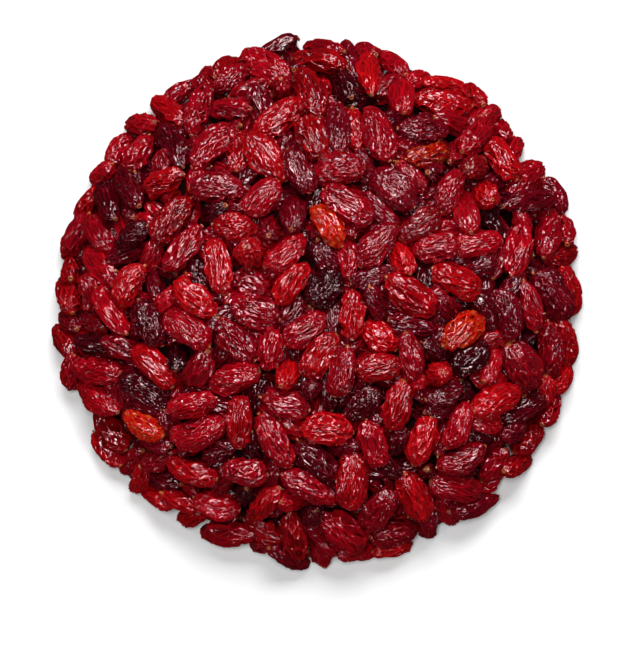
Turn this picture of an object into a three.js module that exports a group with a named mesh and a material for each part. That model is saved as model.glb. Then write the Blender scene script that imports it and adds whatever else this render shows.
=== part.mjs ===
// A round heap of dried barberries lying on a table, as one closed solid out to its uneven outline.
// The heap is a low dome with steep sides and a flat underside. Its skin follows the outermost
// berries: long rounded bodies that lie along the dome, lean a little out of it, and show in two
// layers, a full one and a lower one in its gaps, with valleys between them. Millimetres, +Z up,
// origin at the middle of the underside.
import * as THREE from "three";

// ---- driving dimensions ----
const HEAP_RADIUS = 43.2; // outline of the heap seen from above, to the berries' outer sides
const HEAP_HEIGHT = 23.8; // table to the top of the highest berries
const SHOULDER = 2.9; // higher: flatter top and a rounder, steeper shoulder
const SIDE_ROUND = 1.75; // how early the side turns upright
const BERRY_LENGTH = 8.1;
const BERRY_WIDTH = 4.9;
const BERRY_THICKNESS = 4.6;
const BERRY_SPREAD = 0.12; // how much the berries differ in size, as a share
const STEM_TAPER = 0.22; // how much narrower a berry is at its stem end than at its other end
const UPPER_GAP = 0.93; // closest two berries of the upper layer lie, as a share of their summed reach
const LOWER_GAP = 0.68; // the same for the lower layer
const LOWER_SINK = 1.7; // how far the lower layer lies under the upper one
const UNEVEN = 0.7; // how far berries of one layer differ in height
const LEAN_MAX = 0.26; // how far a berry tips out of the dome's surface, radians
const VALLEY = 2.9; // depth of the deepest gaps under the berries' outer sides
const SKIRT = 0.09; // share of the skin that the berries on the table take up
const FOOT = 0.3; // how far the lowest berries are flattened on the table
const RINGS = 39; // rings of points from the top's middle to the table
const RING_FACES = 6; // points that each ring has more than the one inside it

// ---- repeatable variety ----
function makeRandom(seed) {
  let a = seed >>> 0;
  return () => {
    a = (a + 0x6d2b79f5) >>> 0;
    let t = a;
    t = Math.imul(t ^ (t >>> 15), t | 1);
    t ^= t + Math.imul(t ^ (t >>> 7), t | 61);
    return ((t ^ (t >>> 14)) >>> 0) / 4294967296;
  };
}
const random = makeRandom(20417);
const between = (low, high) => low + (high - low) * random();

// ---- the dome's profile: half a superellipse, from the top's middle (turn 0) to the table (turn 1) ----
// It runs through the middles of the outermost berries.
const INSET = BERRY_THICKNESS / 2;
function profile(turn) {
  const angle = (turn * Math.PI) / 2;
  return new THREE.Vector2(
    (HEAP_RADIUS - INSET) * Math.pow(Math.sin(angle), 2 / SHOULDER),
    (HEAP_HEIGHT - INSET) * Math.pow(Math.cos(angle), 2 / SIDE_ROUND),
  );
}
const FINE = 3000;
const fine = Array.from({ length: FINE + 1 }, (_, i) => profile(Math.pow(i / FINE, 1.5)));
const along = [0];
const area = [0];
for (let i = 1; i <= FINE; i++) {
  along.push(along[i - 1] + fine[i].distanceTo(fine[i - 1]));
  area.push(area[i - 1] + Math.PI * (fine[i].x + fine[i - 1].x) * (along[i] - along[i - 1]));
}

// A place on the dome: table is along, for a distance down the profile, or area, for a share of the skin.
function onDome(table, share, azimuth) {
  const wanted = share * table[FINE];
  let low = 0;
  let high = FINE;
  while (high - low > 1) {
    const mid = (low + high) >> 1;
    if (table[mid] <= wanted) low = mid;
    else high = mid;
  }
  const part = THREE.MathUtils.clamp((wanted - table[low]) / (table[high] - table[low] || 1), 0, 1);
  const at = fine[low].clone().lerp(fine[high], part);
  const before = fine[Math.max(0, low - 12)];
  const after = fine[Math.min(FINE, high + 12)];
  const tangent = after.clone().sub(before).normalize();
  const c = Math.cos(azimuth);
  const s = Math.sin(azimuth);
  return {
    point: new THREE.Vector3(at.x * c, at.x * s, at.y),
    normal: new THREE.Vector3(-tangent.y * c, -tangent.y * s, tangent.x).normalize(),
    downhill: new THREE.Vector3(tangent.x * c, tangent.x * s, tangent.y).normalize(),
    sideways: new THREE.Vector3(-s, c, 0),
  };
}

// ---- where the berries lie: thrown at random, and kept where they lie clear enough of the others ----
const berries = [];
function reachTowards(berry, direction) {
  const u = direction.dot(berry.axis) / berry.half.x;
  const v = direction.dot(berry.across) / berry.half.y;
  const w = direction.dot(berry.up) / berry.half.z;
  return 1 / Math.sqrt(u * u + v * v + w * w);
}
function clear(berry, gap) {
  return berries.every((other) => {
    const to = other.middle.clone().sub(berry.middle);
    const distance = to.length();
    if (distance > BERRY_LENGTH * 1.3) return true;
    to.divideScalar(distance || 1);
    return distance > gap * (reachTowards(berry, to) + reachTowards(other, to));
  });
}
function throwBerries(tries, gap, sink, above = 0) {
  for (let n = 0; n < tries; n++) {
    const spot = onDome(area, between(above, 1), between(0, 2 * Math.PI));
    const half = new THREE.Vector3(
      (BERRY_LENGTH / 2) * (1 + between(-BERRY_SPREAD, BERRY_SPREAD)),
      (BERRY_WIDTH / 2) * (1 + between(-BERRY_SPREAD, BERRY_SPREAD)),
      (BERRY_THICKNESS / 2) * (1 + between(-BERRY_SPREAD, 0)),
    );
    // A berry that lies on the table lies level, and mostly along the heap's edge.
    const level = THREE.MathUtils.clamp(1 - (spot.point.z - INSET) / 3, 0, 1);
    const heading = level > 0.1 ? Math.PI / 2 + between(-0.6, 0.6) : between(0, Math.PI);
    const lean = between(-LEAN_MAX, LEAN_MAX) * (1 - level);
    const middle = spot.point.clone().addScaledVector(spot.normal, -sink - UNEVEN * random() * (1 - level));
    middle.z = Math.max(middle.z, half.z - FOOT);
    const axis = spot.downhill
      .clone()
      .multiplyScalar(Math.cos(heading))
      .addScaledVector(spot.sideways, Math.sin(heading));
    if (level > 0.1) axis.z *= 0.25;
    axis.normalize();
    const across = new THREE.Vector3().crossVectors(spot.normal, axis).normalize();
    const up = new THREE.Vector3().crossVectors(axis, across).normalize();
    axis.multiplyScalar(Math.cos(lean)).addScaledVector(up, Math.sin(lean)).normalize();
    if (random() < 0.5) axis.negate();
    across.crossVectors(spot.normal, axis).normalize();
    up.crossVectors(axis, across).normalize();
    const berry = { middle, axis, across, up, half };
    if (clear(berry, gap)) berries.push(berry);
  }
}
throwBerries(2500, UPPER_GAP, 0, 1 - SKIRT); // first those that lie on the table round the edge
throwBerries(9000, UPPER_GAP, 0);
throwBerries(6000, LOWER_GAP, LOWER_SINK);

// How far out along a line from inside the heap the outermost berry reaches. A berry's girth is that
// of an ellipsoid that narrows towards its stem end, so the crossing is found by halving.
const BACK = 4; // the lines start this far under the berries' middles
const inBerry = (berry, p) => {
  const to = p.clone().sub(berry.middle);
  const x = to.dot(berry.axis) / berry.half.x;
  const girth = 1 - STEM_TAPER * (0.5 + 0.5 * x);
  const y = to.dot(berry.across) / (berry.half.y * girth);
  const z = to.dot(berry.up) / (berry.half.z * girth);
  return Math.pow(Math.abs(x), 2.6) + y * y + z * z < 1;
};
function reach(start, direction) {
  let furthest = BACK + INSET - VALLEY;
  for (const berry of berries) {
    const to = berry.middle.clone().sub(start);
    const nearest = to.dot(direction);
    if (to.lengthSq() - nearest * nearest > Math.pow(berry.half.x * 1.05, 2)) continue;
    for (let out = nearest + BERRY_LENGTH * 0.6; out > furthest; out -= 0.08) {
      if (inBerry(berry, start.clone().addScaledVector(direction, out))) {
        furthest = out;
        break;
      }
    }
  }
  return furthest;
}

// ---- the skin ----
const points = [];
const ringStart = [];
for (let k = 0; k <= RINGS; k++) {
  ringStart.push(points.length);
  const count = k === 0 ? 1 : k * RING_FACES;
  for (let j = 0; j < count; j++) {
    const azimuth = (2 * Math.PI * j) / count;
    const spot = onDome(along, Math.max(1e-6, k / RINGS), azimuth);
    const direction = k === RINGS ? new THREE.Vector3(Math.cos(azimuth), Math.sin(azimuth), 0) : spot.normal;
    const start = spot.point.clone().addScaledVector(direction, -BACK);
    if (k === RINGS) start.z = 0;
    const p = start.clone().addScaledVector(direction, reach(start, direction));
    p.z = k === RINGS ? 0 : Math.max(p.z, 0.3);
    points.push(p);
  }
}
const faces = [];
for (let k = 1; k <= RINGS; k++) {
  const inner = Math.max(1, (k - 1) * RING_FACES);
  const outer = k * RING_FACES;
  for (let sector = 0; sector < RING_FACES; sector++) {
    for (let i = 0; i < k; i++) {
      const o0 = ringStart[k] + ((sector * k + i) % outer);
      const o1 = ringStart[k] + ((sector * k + i + 1) % outer);
      const n0 = ringStart[k - 1] + ((sector * (k - 1) + i) % inner);
      const n1 = ringStart[k - 1] + ((sector * (k - 1) + i + 1) % inner);
      faces.push([n0, o0, o1]);
      if (i < k - 1) faces.push([n0, o1, n1]);
    }
  }
}
// the flat underside
const rimCount = RINGS * RING_FACES;
points.push(new THREE.Vector3(0, 0, 0));
for (let j = 0; j < rimCount; j++)
  faces.push([points.length - 1, ringStart[RINGS] + ((j + 1) % rimCount), ringStart[RINGS] + j]);

// ---- origin at the middle of the underside, measured over the whole outline ----
const box = new THREE.Box3().setFromPoints(points);
const shift = new THREE.Vector3(-(box.min.x + box.max.x) / 2, -(box.min.y + box.max.y) / 2, 0);
for (const p of points) p.add(shift);

const geometry = new THREE.BufferGeometry();
geometry.setAttribute("position", new THREE.Float32BufferAttribute(points.flatMap((p) => [p.x, p.y, p.z]), 3));
geometry.setIndex(faces.flat());
geometry.computeVertexNormals();

const heap = new THREE.Mesh(
  geometry,
  new THREE.MeshStandardMaterial({ color: 0x7a1016, roughness: 0.38, metalness: 0 }),
);
heap.name = "barberry_heap";

const group = new THREE.Group();
group.add(heap);

export default group;
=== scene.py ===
"""A round heap of dried barberries on a pale table, seen from straight above.

The heap is built the way it lies: each berry is its own closed, wrinkled mesh. The berries that show from above have
a place, size, direction and tone of their own; they lie against the heap's domed outline, each lower one is pushed
down until it is clear of those on top, and further berries fill the sides, the gaps and the ground layer, round a
smaller core painted near black as the shade deep in the heap. Lengths are millimetres until the meshes are made.
"""
import math

import bmesh
import bpy
import numpy as np
from mathutils import Matrix, Vector


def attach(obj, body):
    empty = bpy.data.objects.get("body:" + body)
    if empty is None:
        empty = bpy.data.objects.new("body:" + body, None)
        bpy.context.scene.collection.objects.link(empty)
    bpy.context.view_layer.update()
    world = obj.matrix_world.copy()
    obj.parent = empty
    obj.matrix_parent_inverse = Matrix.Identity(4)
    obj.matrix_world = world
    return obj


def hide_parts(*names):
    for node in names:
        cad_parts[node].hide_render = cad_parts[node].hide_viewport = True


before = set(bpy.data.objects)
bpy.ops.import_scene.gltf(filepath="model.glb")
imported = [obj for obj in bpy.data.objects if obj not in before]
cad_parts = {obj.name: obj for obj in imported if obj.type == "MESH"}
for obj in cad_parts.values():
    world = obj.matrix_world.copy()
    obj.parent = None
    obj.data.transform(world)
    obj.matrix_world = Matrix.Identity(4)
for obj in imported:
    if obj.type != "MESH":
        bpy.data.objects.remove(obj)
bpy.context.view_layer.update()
rng = np.random.default_rng(20417)
MM = 0.001

# ---------------------------------------------------------------- the camera and what a pixel measures
FRAME_W, FRAME_H = 640, 667
CENTRE_PX = (319.0, 302.0)  # the middle of the heap in the picture
PX = 0.16  # millimetres to a pixel, at the height PX_PLANE above the table
PX_PLANE = 14.0
CAM_Z = 600.0
CAM_X = (FRAME_W / 2 - CENTRE_PX[0]) * PX
CAM_Y = -(FRAME_H / 2 - CENTRE_PX[1]) * PX


def from_px(px, py, z):
    """Where a pixel's line of sight meets the height z."""
    k = PX * (CAM_Z - z) / (CAM_Z - PX_PLANE)
    return CAM_X + (px - FRAME_W / 2) * k, CAM_Y - (py - FRAME_H / 2) * k


# ---------------------------------------------------------------- the heap's outline
RADIUS = 42.9
HEIGHT = 23.6
SHOULDER = 2.9
SIDE_ROUND = 1.75


def dome_z(r):
    r = np.clip(np.asarray(r, float) / RADIUS, 0, 0.99999)
    return HEIGHT * (1 - r**SHOULDER) ** (1 / SIDE_ROUND)


def dome_normal(x, y):
    r = math.hypot(x, y)
    if r < 1e-6:
        return np.array([0.0, 0.0, 1.0])
    q = min(r / RADIUS, 0.9985)
    z = float(dome_z(q * RADIUS))
    gr = SHOULDER * q ** (SHOULDER - 1) / RADIUS
    gz = SIDE_ROUND * (z / HEIGHT) ** (SIDE_ROUND - 1) / HEIGHT
    n = np.array([x / r * gr, y / r * gr, gz])
    return n / np.linalg.norm(n)


# ---------------------------------------------------------------- the berries that show from above
# x, y: the middle, in pixels of the picture. length, width: as they show, in pixels. heading: where the stem end
# points, in degrees anticlockwise from the right. layer: 0 wholly seen, 1 partly covered, 2 deep in a gap. tone:
# O scarlet with orange, S scarlet, C crimson, M maroon, K nearly black. skin: g glossy with large facets, m medium,
# f finely wrinkled. Last, where given, how far the eye end points up at the viewer, in degrees.
SEEN = """
222 62 38 26 35 1 S m
203 73 26 18 60 1 C m
231 78 44 28 35 0 C f
182 93 42 26 30 1 C f
199 109 56 34 75 0 C m
169 112 36 26 140 1 S m
142 124 38 24 185 1 C m
157 129 36 26 112 1 M m
117 150 36 24 60 1 C m
139 153 42 32 62 0 C m
101 171 30 20 40 1 C f
174 146 46 28 120 1 M m
164 182 46 30 20 0 S g
129 188 46 26 119 0 M m
87 203 44 28 55 1 S m
109 200 44 26 115 0 M g
124 206 40 20 115 1 M m
217 189 57 34 356 0 C m
213 146 60 34 42 0 C m
238 149 48 26 80 1 S m
232 109 46 24 0 1 C g
262 106 38 28 120 1 M m
250 90 46 24 20 1 C g
266 66 58 36 150 0 C f
282 88 26 22 270 1 C m 75
276 46 36 22 208 1 M g
294 43 24 20 90 1 M g 60
328 47 48 22 170 1 C g
318 62 56 30 170 0 S g
311 93 56 34 112 0 S m
312 138 50 32 112 0 S g
268 158 58 36 130 0 S m
278 120 62 34 40 0 S m
339 127 52 30 95 0 M m
353 128 44 20 98 1 S m
378 134 60 34 112 0 C m
336 171 54 36 190 0 C m
299 171 52 30 118 0 M m
262 198 48 36 45 0 C m
250 173 30 20 60 2 M m
294 213 38 30 90 1 M m 50
313 197 30 20 60 2 K m
347 206 60 34 145 0 C m
381 207 50 26 140 1 M m
394 188 56 38 142 0 M f
365 169 36 20 110 1 M m
397 163 40 22 150 1 C m
351 63 46 22 100 1 M m
369 74 46 26 95 0 S g
360 51 32 20 170 1 C m
393 66 38 26 145 1 C f
387 86 32 26 30 1 C m
401 97 36 28 97 0 C m 45
345 85 40 30 120 1 K m
361 99 32 24 20 2 K m
419 81 30 22 10 1 C m
448 83 46 26 170 1 S m
443 103 60 36 175 0 S g
474 97 34 22 135 1 S m
474 112 24 20 90 1 C m 60
488 114 24 20 20 1 C m
503 121 36 26 315 1 C g
516 147 32 22 60 1 C m
501 159 54 34 123 0 S m
533 175 48 34 45 0 C m
556 195 42 24 120 1 M m
528 201 56 26 10 0 M m
500 200 36 26 0 2 K m
473 170 36 34 340 0 S m 75
484 197 36 32 150 0 S m 72
495 184 28 20 30 2 M m
451 193 48 34 65 0 C f
433 171 26 22 0 1 M m 70
428 156 44 28 195 0 O g
423 130 52 28 357 0 M f
452 124 44 26 160 1 C g
475 138 44 30 50 0 C m
462 149 40 24 60 1 C m
452 163 36 26 100 2 K m
411 204 46 28 145 1 M m
409 178 44 28 135 1 C m
560 212 36 20 100 1 C m
74 240 44 30 60 1 C f
98 233 40 28 128 1 C f
100 266 48 32 125 1 C m
131 283 48 34 60 0 S m
133 236 38 28 215 0 K m
128 253 46 24 20 2 M g
171 221 58 36 52 0 S m
184 250 58 30 230 0 C g
218 266 58 32 101 0 S m
234 227 44 32 170 0 S m
213 212 34 26 207 1 K m 55
199 270 38 24 110 1 K g
152 256 32 24 240 1 C m
156 281 44 26 100 2 M m
163 268 30 20 140 2 M g
193 299 54 32 140 0 S g
188 329 56 36 324 0 C f
151 323 50 34 117 0 M m
166 302 30 22 60 1 C m
110 311 58 32 125 0 C g
69 272 28 26 90 1 S g
70 294 42 32 100 0 S m
72 321 30 24 125 1 C m
92 323 40 28 150 2 C m
63 342 34 20 120 1 S m
84 345 44 28 130 1 C f
99 346 36 24 170 1 K m
122 347 36 26 159 1 C g
154 366 56 34 133 0 S m
98 371 52 30 172 0 C m
72 371 30 22 80 1 C m
146 387 58 34 153 1 M f
198 370 44 36 230 0 C g 30
178 356 24 20 90 2 K m 60
222 352 36 24 60 2 M m
236 340 56 30 131 0 C m
236 378 54 34 20 0 C m
250 253 38 34 292 0 S m 72
270 229 30 28 90 1 C m 75
286 253 52 30 40 0 C m
291 283 52 32 53 0 S g
329 224 52 32 127 0 O g
331 257 38 30 120 1 M f
325 288 46 36 50 0 K f
313 247 34 22 110 2 K m
349 260 42 20 95 1 C g
376 245 56 32 48 0 C m
368 277 42 26 20 1 M m
402 257 40 28 115 1 S m
410 296 62 36 143 0 S g
352 315 50 30 90 0 S g
375 304 36 24 110 1 M m
332 318 34 22 80 1 M m
304 330 52 32 38 0 C m
256 311 52 34 158 0 C m
251 286 44 28 150 1 C m
291 312 36 28 60 1 M m
270 349 44 28 265 0 C g
320 355 54 34 55 0 S m
289 373 34 28 60 1 S m 55
342 372 52 30 75 0 C f
378 367 48 32 5 0 S m
379 337 42 32 140 1 S m
353 347 30 20 30 2 C m
414 325 52 24 348 1 M g
411 357 52 28 102 0 C m
422 224 48 32 215 0 S m
466 216 36 30 100 0 C f 40
450 223 28 20 180 1 C m
476 241 50 30 5 0 C m
437 247 48 30 192 0 C m
448 259 36 22 15 2 M m
478 268 40 28 20 1 M m
457 281 56 34 332 0 S g
516 247 60 34 77 0 C g
548 233 52 32 80 0 C f
563 230 30 18 100 1 C m
568 253 34 26 20 1 S m
500 258 44 22 85 1 C m
572 289 52 28 108 0 S m
552 296 54 38 129 0 M f
541 267 32 22 20 2 M m
530 306 54 26 105 1 C m
506 313 56 32 112 0 M m
491 313 48 22 115 1 M m
510 291 30 24 60 1 M m
449 309 40 22 125 1 M m
470 305 34 22 160 2 K m
462 331 50 34 214 0 O g
470 358 46 36 30 0 K m
493 363 46 24 64 1 C f
495 338 26 20 20 1 S m
521 365 52 38 121 0 C f
550 349 56 32 95 0 C f
573 339 52 30 105 0 S m
560 378 36 26 60 1 S m
545 386 34 22 110 1 C m
436 349 30 22 150 1 M m
437 373 34 30 180 0 S m 78
427 272 30 24 100 2 K m
527 338 30 22 30 2 K m
490 213 32 24 120 2 K m
76 387 34 22 120 1 S m
99 398 46 28 148 0 C f
118 393 28 22 100 1 M m
126 402 34 24 30 2 M m
148 405 30 20 150 2 M m
109 431 56 34 125 0 S g
103 450 44 24 130 1 S m
144 425 46 30 150 0 O m
155 441 38 22 160 1 M m
131 460 32 26 225 1 C m
192 405 52 28 15 0 C m
198 433 58 36 18 0 C f
197 393 40 20 5 1 M m
169 425 36 20 120 2 M m
192 471 54 34 160 0 S g
160 458 30 20 20 1 C m
157 482 46 28 165 1 M m
138 484 30 22 250 1 S m
154 499 34 22 150 1 S m
181 500 42 26 160 0 S g
190 518 34 26 215 1 S m
217 504 50 30 165 0 C m
228 537 56 30 0 0 C m
246 471 46 32 170 0 C m
222 478 36 28 60 1 C m
218 452 36 22 30 2 M m
239 422 54 28 90 0 S m
286 404 50 34 165 0 C m
256 393 34 22 70 2 K m
275 440 62 34 121 0 C m
253 448 34 24 100 2 K m
311 394 34 24 60 1 M m
325 390 30 24 100 1 M m
328 428 54 38 175 0 S g
362 403 42 32 40 0 M m
345 400 30 20 20 2 M m
397 406 54 32 75 0 S m
373 443 50 32 110 0 C g
352 480 62 34 88 0 S f
317 460 56 32 134 0 M g
309 487 60 32 330 0 C m
345 448 30 20 10 2 M m
396 443 30 26 60 2 M m
390 465 36 24 140 2 K m
271 479 40 20 80 1 C m
266 503 44 28 230 0 S g
241 497 36 26 60 2 K m
291 502 32 24 0 1 C m 60
311 515 30 26 30 1 K m
294 537 48 32 280 0 S g
291 558 46 24 155 1 M m
262 534 42 28 150 1 S m
343 531 56 40 140 0 C g
322 537 36 26 130 1 C m
322 555 28 24 100 1 C m
360 553 48 22 5 1 C m
379 508 48 34 55 0 C m
394 534 50 32 10 0 C f
392 547 44 18 10 1 S m
414 496 54 34 113 0 S m
422 440 52 34 70 0 S g
458 426 50 30 65 0 C m
444 395 42 24 20 0 M f
443 408 36 20 15 1 M m
496 400 54 34 25 0 S m
486 421 36 26 170 1 C m
523 412 46 28 25 1 M m
549 407 32 28 60 1 C m
543 393 30 22 260 1 S m
510 428 34 22 210 1 M m
527 440 42 34 50 0 S m
522 464 42 24 25 1 S m
498 446 40 24 60 1 M m
494 464 42 26 235 0 C g
462 459 54 32 203 0 C m
455 487 54 34 347 0 C m
487 492 46 30 40 1 C m
474 503 40 20 15 1 M m
449 513 40 26 300 1 C m
430 526 36 24 270 1 M m
478 437 34 22 20 2 K m
468 395 36 24 120 2 K m
430 474 30 20 110 2 M m
"""


# ---------------------------------------------------------------- one berry's size, place and skin
SPHERE_AT = np.array([-0.52, -0.27, 0.0, 0.27, 0.52])  # a berry as five balls along its axis, for clearances
SPHERE_R = np.array([0.82, 0.95, 1.0, 0.95, 0.80])


class Heap:
    """The berries so far: middle, axis towards the stem end, the side that faces out, and half sizes."""

    def __init__(self):
        self.pos, self.axis, self.out, self.half = [], [], [], []
        self.layer, self.tone, self.skin, self.detail, self.fixed = [], [], [], [], []

    def add(self, pos, axis, out, half, layer, tone, skin, detail, fixed=False):
        self.fixed.append(fixed)
        self.pos.append(np.asarray(pos, float))
        self.axis.append(np.asarray(axis, float))
        self.out.append(np.asarray(out, float))
        self.half.append(np.asarray(half, float))
        self.layer.append(layer)
        self.tone.append(tone)
        self.skin.append(skin)
        self.detail.append(detail)


def outward(axis, n):
    """n without its part along the axis."""
    o = n - axis * float(n @ axis)
    if np.linalg.norm(o) < 0.15:
        o = np.cross(axis, [0.3, 0.9, 0.2])
    return o / np.linalg.norm(o)


def extent(axis, out, half, direction):
    """Half the berry's size along a direction."""
    side = np.cross(out, axis)
    return math.sqrt(sum((h * float(v @ direction)) ** 2 for h, v in zip(half, (axis, side, out))))


def balls(pos, axis, half):
    r = (half[..., 1] + half[..., 2]) / 2
    c = pos[..., None, :] + axis[..., None, :] * (SPHERE_AT * half[..., 0:1])[..., None]
    return c, SPHERE_R * r[..., None]


def place_seen(heap):
    up = np.array([0.0, 0.0, 1.0])
    for line in SEEN.strip().splitlines():
        f = line.split()
        px, py, length, width, heading = (float(v) for v in f[:5])
        layer, tone, skin = int(f[5]), f[6], f[7]
        eye_up = math.radians(float(f[8])) if len(f) > 8 else None
        width_mm = max(width * PX, 4.0 if layer else 4.2) * rng.uniform(0.97, 1.03)
        b = width_mm / 2
        c = b * rng.uniform(0.84, 0.98)
        sink = (0.0, 0.9, 2.0)[layer] + rng.uniform(-0.35, 0.35)
        h = np.array([math.cos(math.radians(heading)), math.sin(math.radians(heading)), 0.0])
        z = 15.0
        for _ in range(6):
            x, y = from_px(px, py, z)
            n = dome_normal(x, y)
            sx, sy = x + n[0] * (c + sink), y + n[1] * (c + sink)
            r = min(math.hypot(sx, sy), RADIUS * 0.999)
            n = dome_normal(sx, sy)
            z = max(float(dome_z(r)) - n[2] * (c + sink), c)
        slope = math.atan2(-float(n @ h), max(n[2], 0.35))
        slope = max(-0.85, min(0.85, slope)) + rng.uniform(-0.12, 0.12)
        shown = length * PX
        if eye_up is not None:
            pitch = -eye_up
            real = rng.uniform(7.4, 8.2)
        else:
            least = 7.0 if layer == 0 else 6.6
            real = shown / math.cos(slope)
            pitch = slope
            if real < least:
                real = least + rng.uniform(0, 0.5)
                pitch = math.copysign(math.acos(min(1.0, shown / real)), slope)
            if real > 10.2:
                real = 10.2
                pitch = math.copysign(math.acos(min(1.0, shown / real)), slope)
        a = real / 2
        axis = np.array([h[0] * math.cos(pitch), h[1] * math.cos(pitch), math.sin(pitch)])
        out = outward(axis, n if eye_up is None else up)
        half = np.array([a, b, c])
        x, y = from_px(px, py, z)
        r = math.hypot(x, y)
        radial = np.array([x / r, y / r, 0.0])
        over = r + extent(axis, out, half, radial) - RADIUS
        if over > 0:
            x, y = x - radial[0] * over, y - radial[1] * over
        z = max(z, extent(axis, out, half, up) + 0.02)
        heap.add([x, y, z], axis, out, half, layer, tone, skin, min(layer, 2), eye_up is not None)


def settle(heap, rounds=110, slack=0.6):
    """Pushes berries that run into each other apart. Lower layers go down, an end that is pushed dips while the other
    end stays up, and places in plan change little."""
    pos, axis0, out0, half = (np.array(v) for v in (heap.pos, heap.axis, heap.out, heap.half))
    layer = np.array(heap.layer)
    fixed = np.array(heap.fixed)
    home = pos.copy()
    n = len(pos)
    pitch0 = np.arcsin(np.clip(axis0[:, 2], -1, 1))
    plan = axis0[:, :2] / np.maximum(np.linalg.norm(axis0[:, :2], axis=1, keepdims=True), 1e-6)
    dip = np.zeros(n)
    most = np.where(fixed, 0.0, np.where(layer == 0, 0.30, 0.75))
    a2 = half[:, 0]
    i, j = np.triu_indices(n, 1)
    near = np.hypot(*(pos[i, :2] - pos[j, :2]).T) < half[i, 0] + half[j, 0] + 1.5
    i, j = i[near], j[near]
    swap = layer[i] > layer[j]
    i[swap], j[swap] = j[swap], i[swap]
    below = layer[j] > layer[i]
    rows = np.arange(len(i))
    for _ in range(rounds):
        pitch = pitch0 + dip
        axis = np.concatenate([plan * np.cos(pitch)[:, None], np.sin(pitch)[:, None]], 1)
        c, r = balls(pos, axis, half)
        d = c[i][:, :, None, :] - c[j][:, None, :, :]
        dist = np.linalg.norm(d, axis=-1) + 1e-9
        pen = (r[i][:, :, None] + r[j][:, None, :] - dist - slack).reshape(len(i), -1)
        k = pen.argmax(1)
        worst = pen[rows, k]
        hit = worst > 0
        if not hit.any():
            break
        u = (d / dist[..., None]).reshape(len(i), -1, 3)[rows, k][hit]
        w = worst[hit][:, None]
        ii, jj, lower = i[hit], j[hit], below[hit][:, None]
        arm_i, arm_j = SPHERE_AT[k[hit] // 5] * a2[ii], SPHERE_AT[k[hit] % 5] * a2[jj]
        push_j = np.where(lower, -np.concatenate([u[:, :2] * 0.30, np.maximum(u[:, 2:], 0.5)], 1), -u * [0.3, 0.3, 0.5]) * w
        push_i = np.where(lower, u * [0.08, 0.08, 0.06], u * [0.3, 0.3, 0.5]) * w
        move, turn = np.zeros_like(pos), np.zeros(n)
        np.add.at(move, jj, push_j * [1, 1, 0.55])
        np.add.at(move, ii, push_i * [1, 1, 0.55])
        np.add.at(turn, jj, push_j[:, 2] * arm_j / a2[jj] ** 2 * 1.1)
        np.add.at(turn, ii, push_i[:, 2] * arm_i / a2[ii] ** 2 * 1.1)
        pos += np.clip(move * 0.5, -0.3, 0.3)
        dip = np.clip(dip + np.clip(turn * 0.5, -0.06, 0.06), -most, most) * 0.995
        pos[:, :2] += 0.06 * (home[:, :2] - pos[:, :2])
        pos[:, 2] += np.where(layer == 0, 0.06, 0.035) * (home[:, 2] - pos[:, 2])
        low = np.abs(axis[:, 2]) * half[:, 0] * 0.9 + np.sqrt(1 - axis[:, 2] ** 2) * half[:, 2] * 0.98 + 0.02
        pos[:, 2] = np.maximum(pos[:, 2], low)
    pitch = pitch0 + dip
    axis = np.concatenate([plan * np.cos(pitch)[:, None], np.sin(pitch)[:, None]], 1)
    axis[fixed] = axis0[fixed]
    for q in range(n):
        heap.axis[q] = axis[q]
        heap.out[q] = outward(axis[q], out0[q])
        low = extent(heap.axis[q], heap.out[q], half[q], np.array([0, 0, 1.0])) + 0.02
        pos[q, 2] = max(pos[q, 2], low)
        heap.pos[q] = pos[q]
    return float(np.hypot(*(pos - home)[:, :2].T).mean()), float(worst.max()), float(np.abs(dip).mean())


CELL = 0.4
HALF_GRID = 116


def height_map(heap, shrink=0.0):
    """The height of the highest berry over each cell of the plan, and -9 where there is none."""
    grid = np.full((2 * HALF_GRID, 2 * HALF_GRID), -9.0)
    c, r = balls(np.array(heap.pos), np.array(heap.axis), np.array(heap.half))
    for (x, y, z), q in zip(c.reshape(-1, 3), r.reshape(-1) - shrink):
        i0, i1 = int((x - q) / CELL) + HALF_GRID, int((x + q) / CELL) + HALF_GRID + 2
        j0, j1 = int((y - q) / CELL) + HALF_GRID, int((y + q) / CELL) + HALF_GRID + 2
        gx = (np.arange(i0, i1) - HALF_GRID + 0.5) * CELL - x
        gy = (np.arange(j0, j1) - HALF_GRID + 0.5) * CELL - y
        d = q * q - gx[:, None] ** 2 - gy[None, :] ** 2
        top = np.where(d > 0, z + np.sqrt(np.maximum(d, 0)), -9.0)
        np.maximum(grid[i0:i1, j0:j1], top, out=grid[i0:i1, j0:j1])
    return grid


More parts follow.
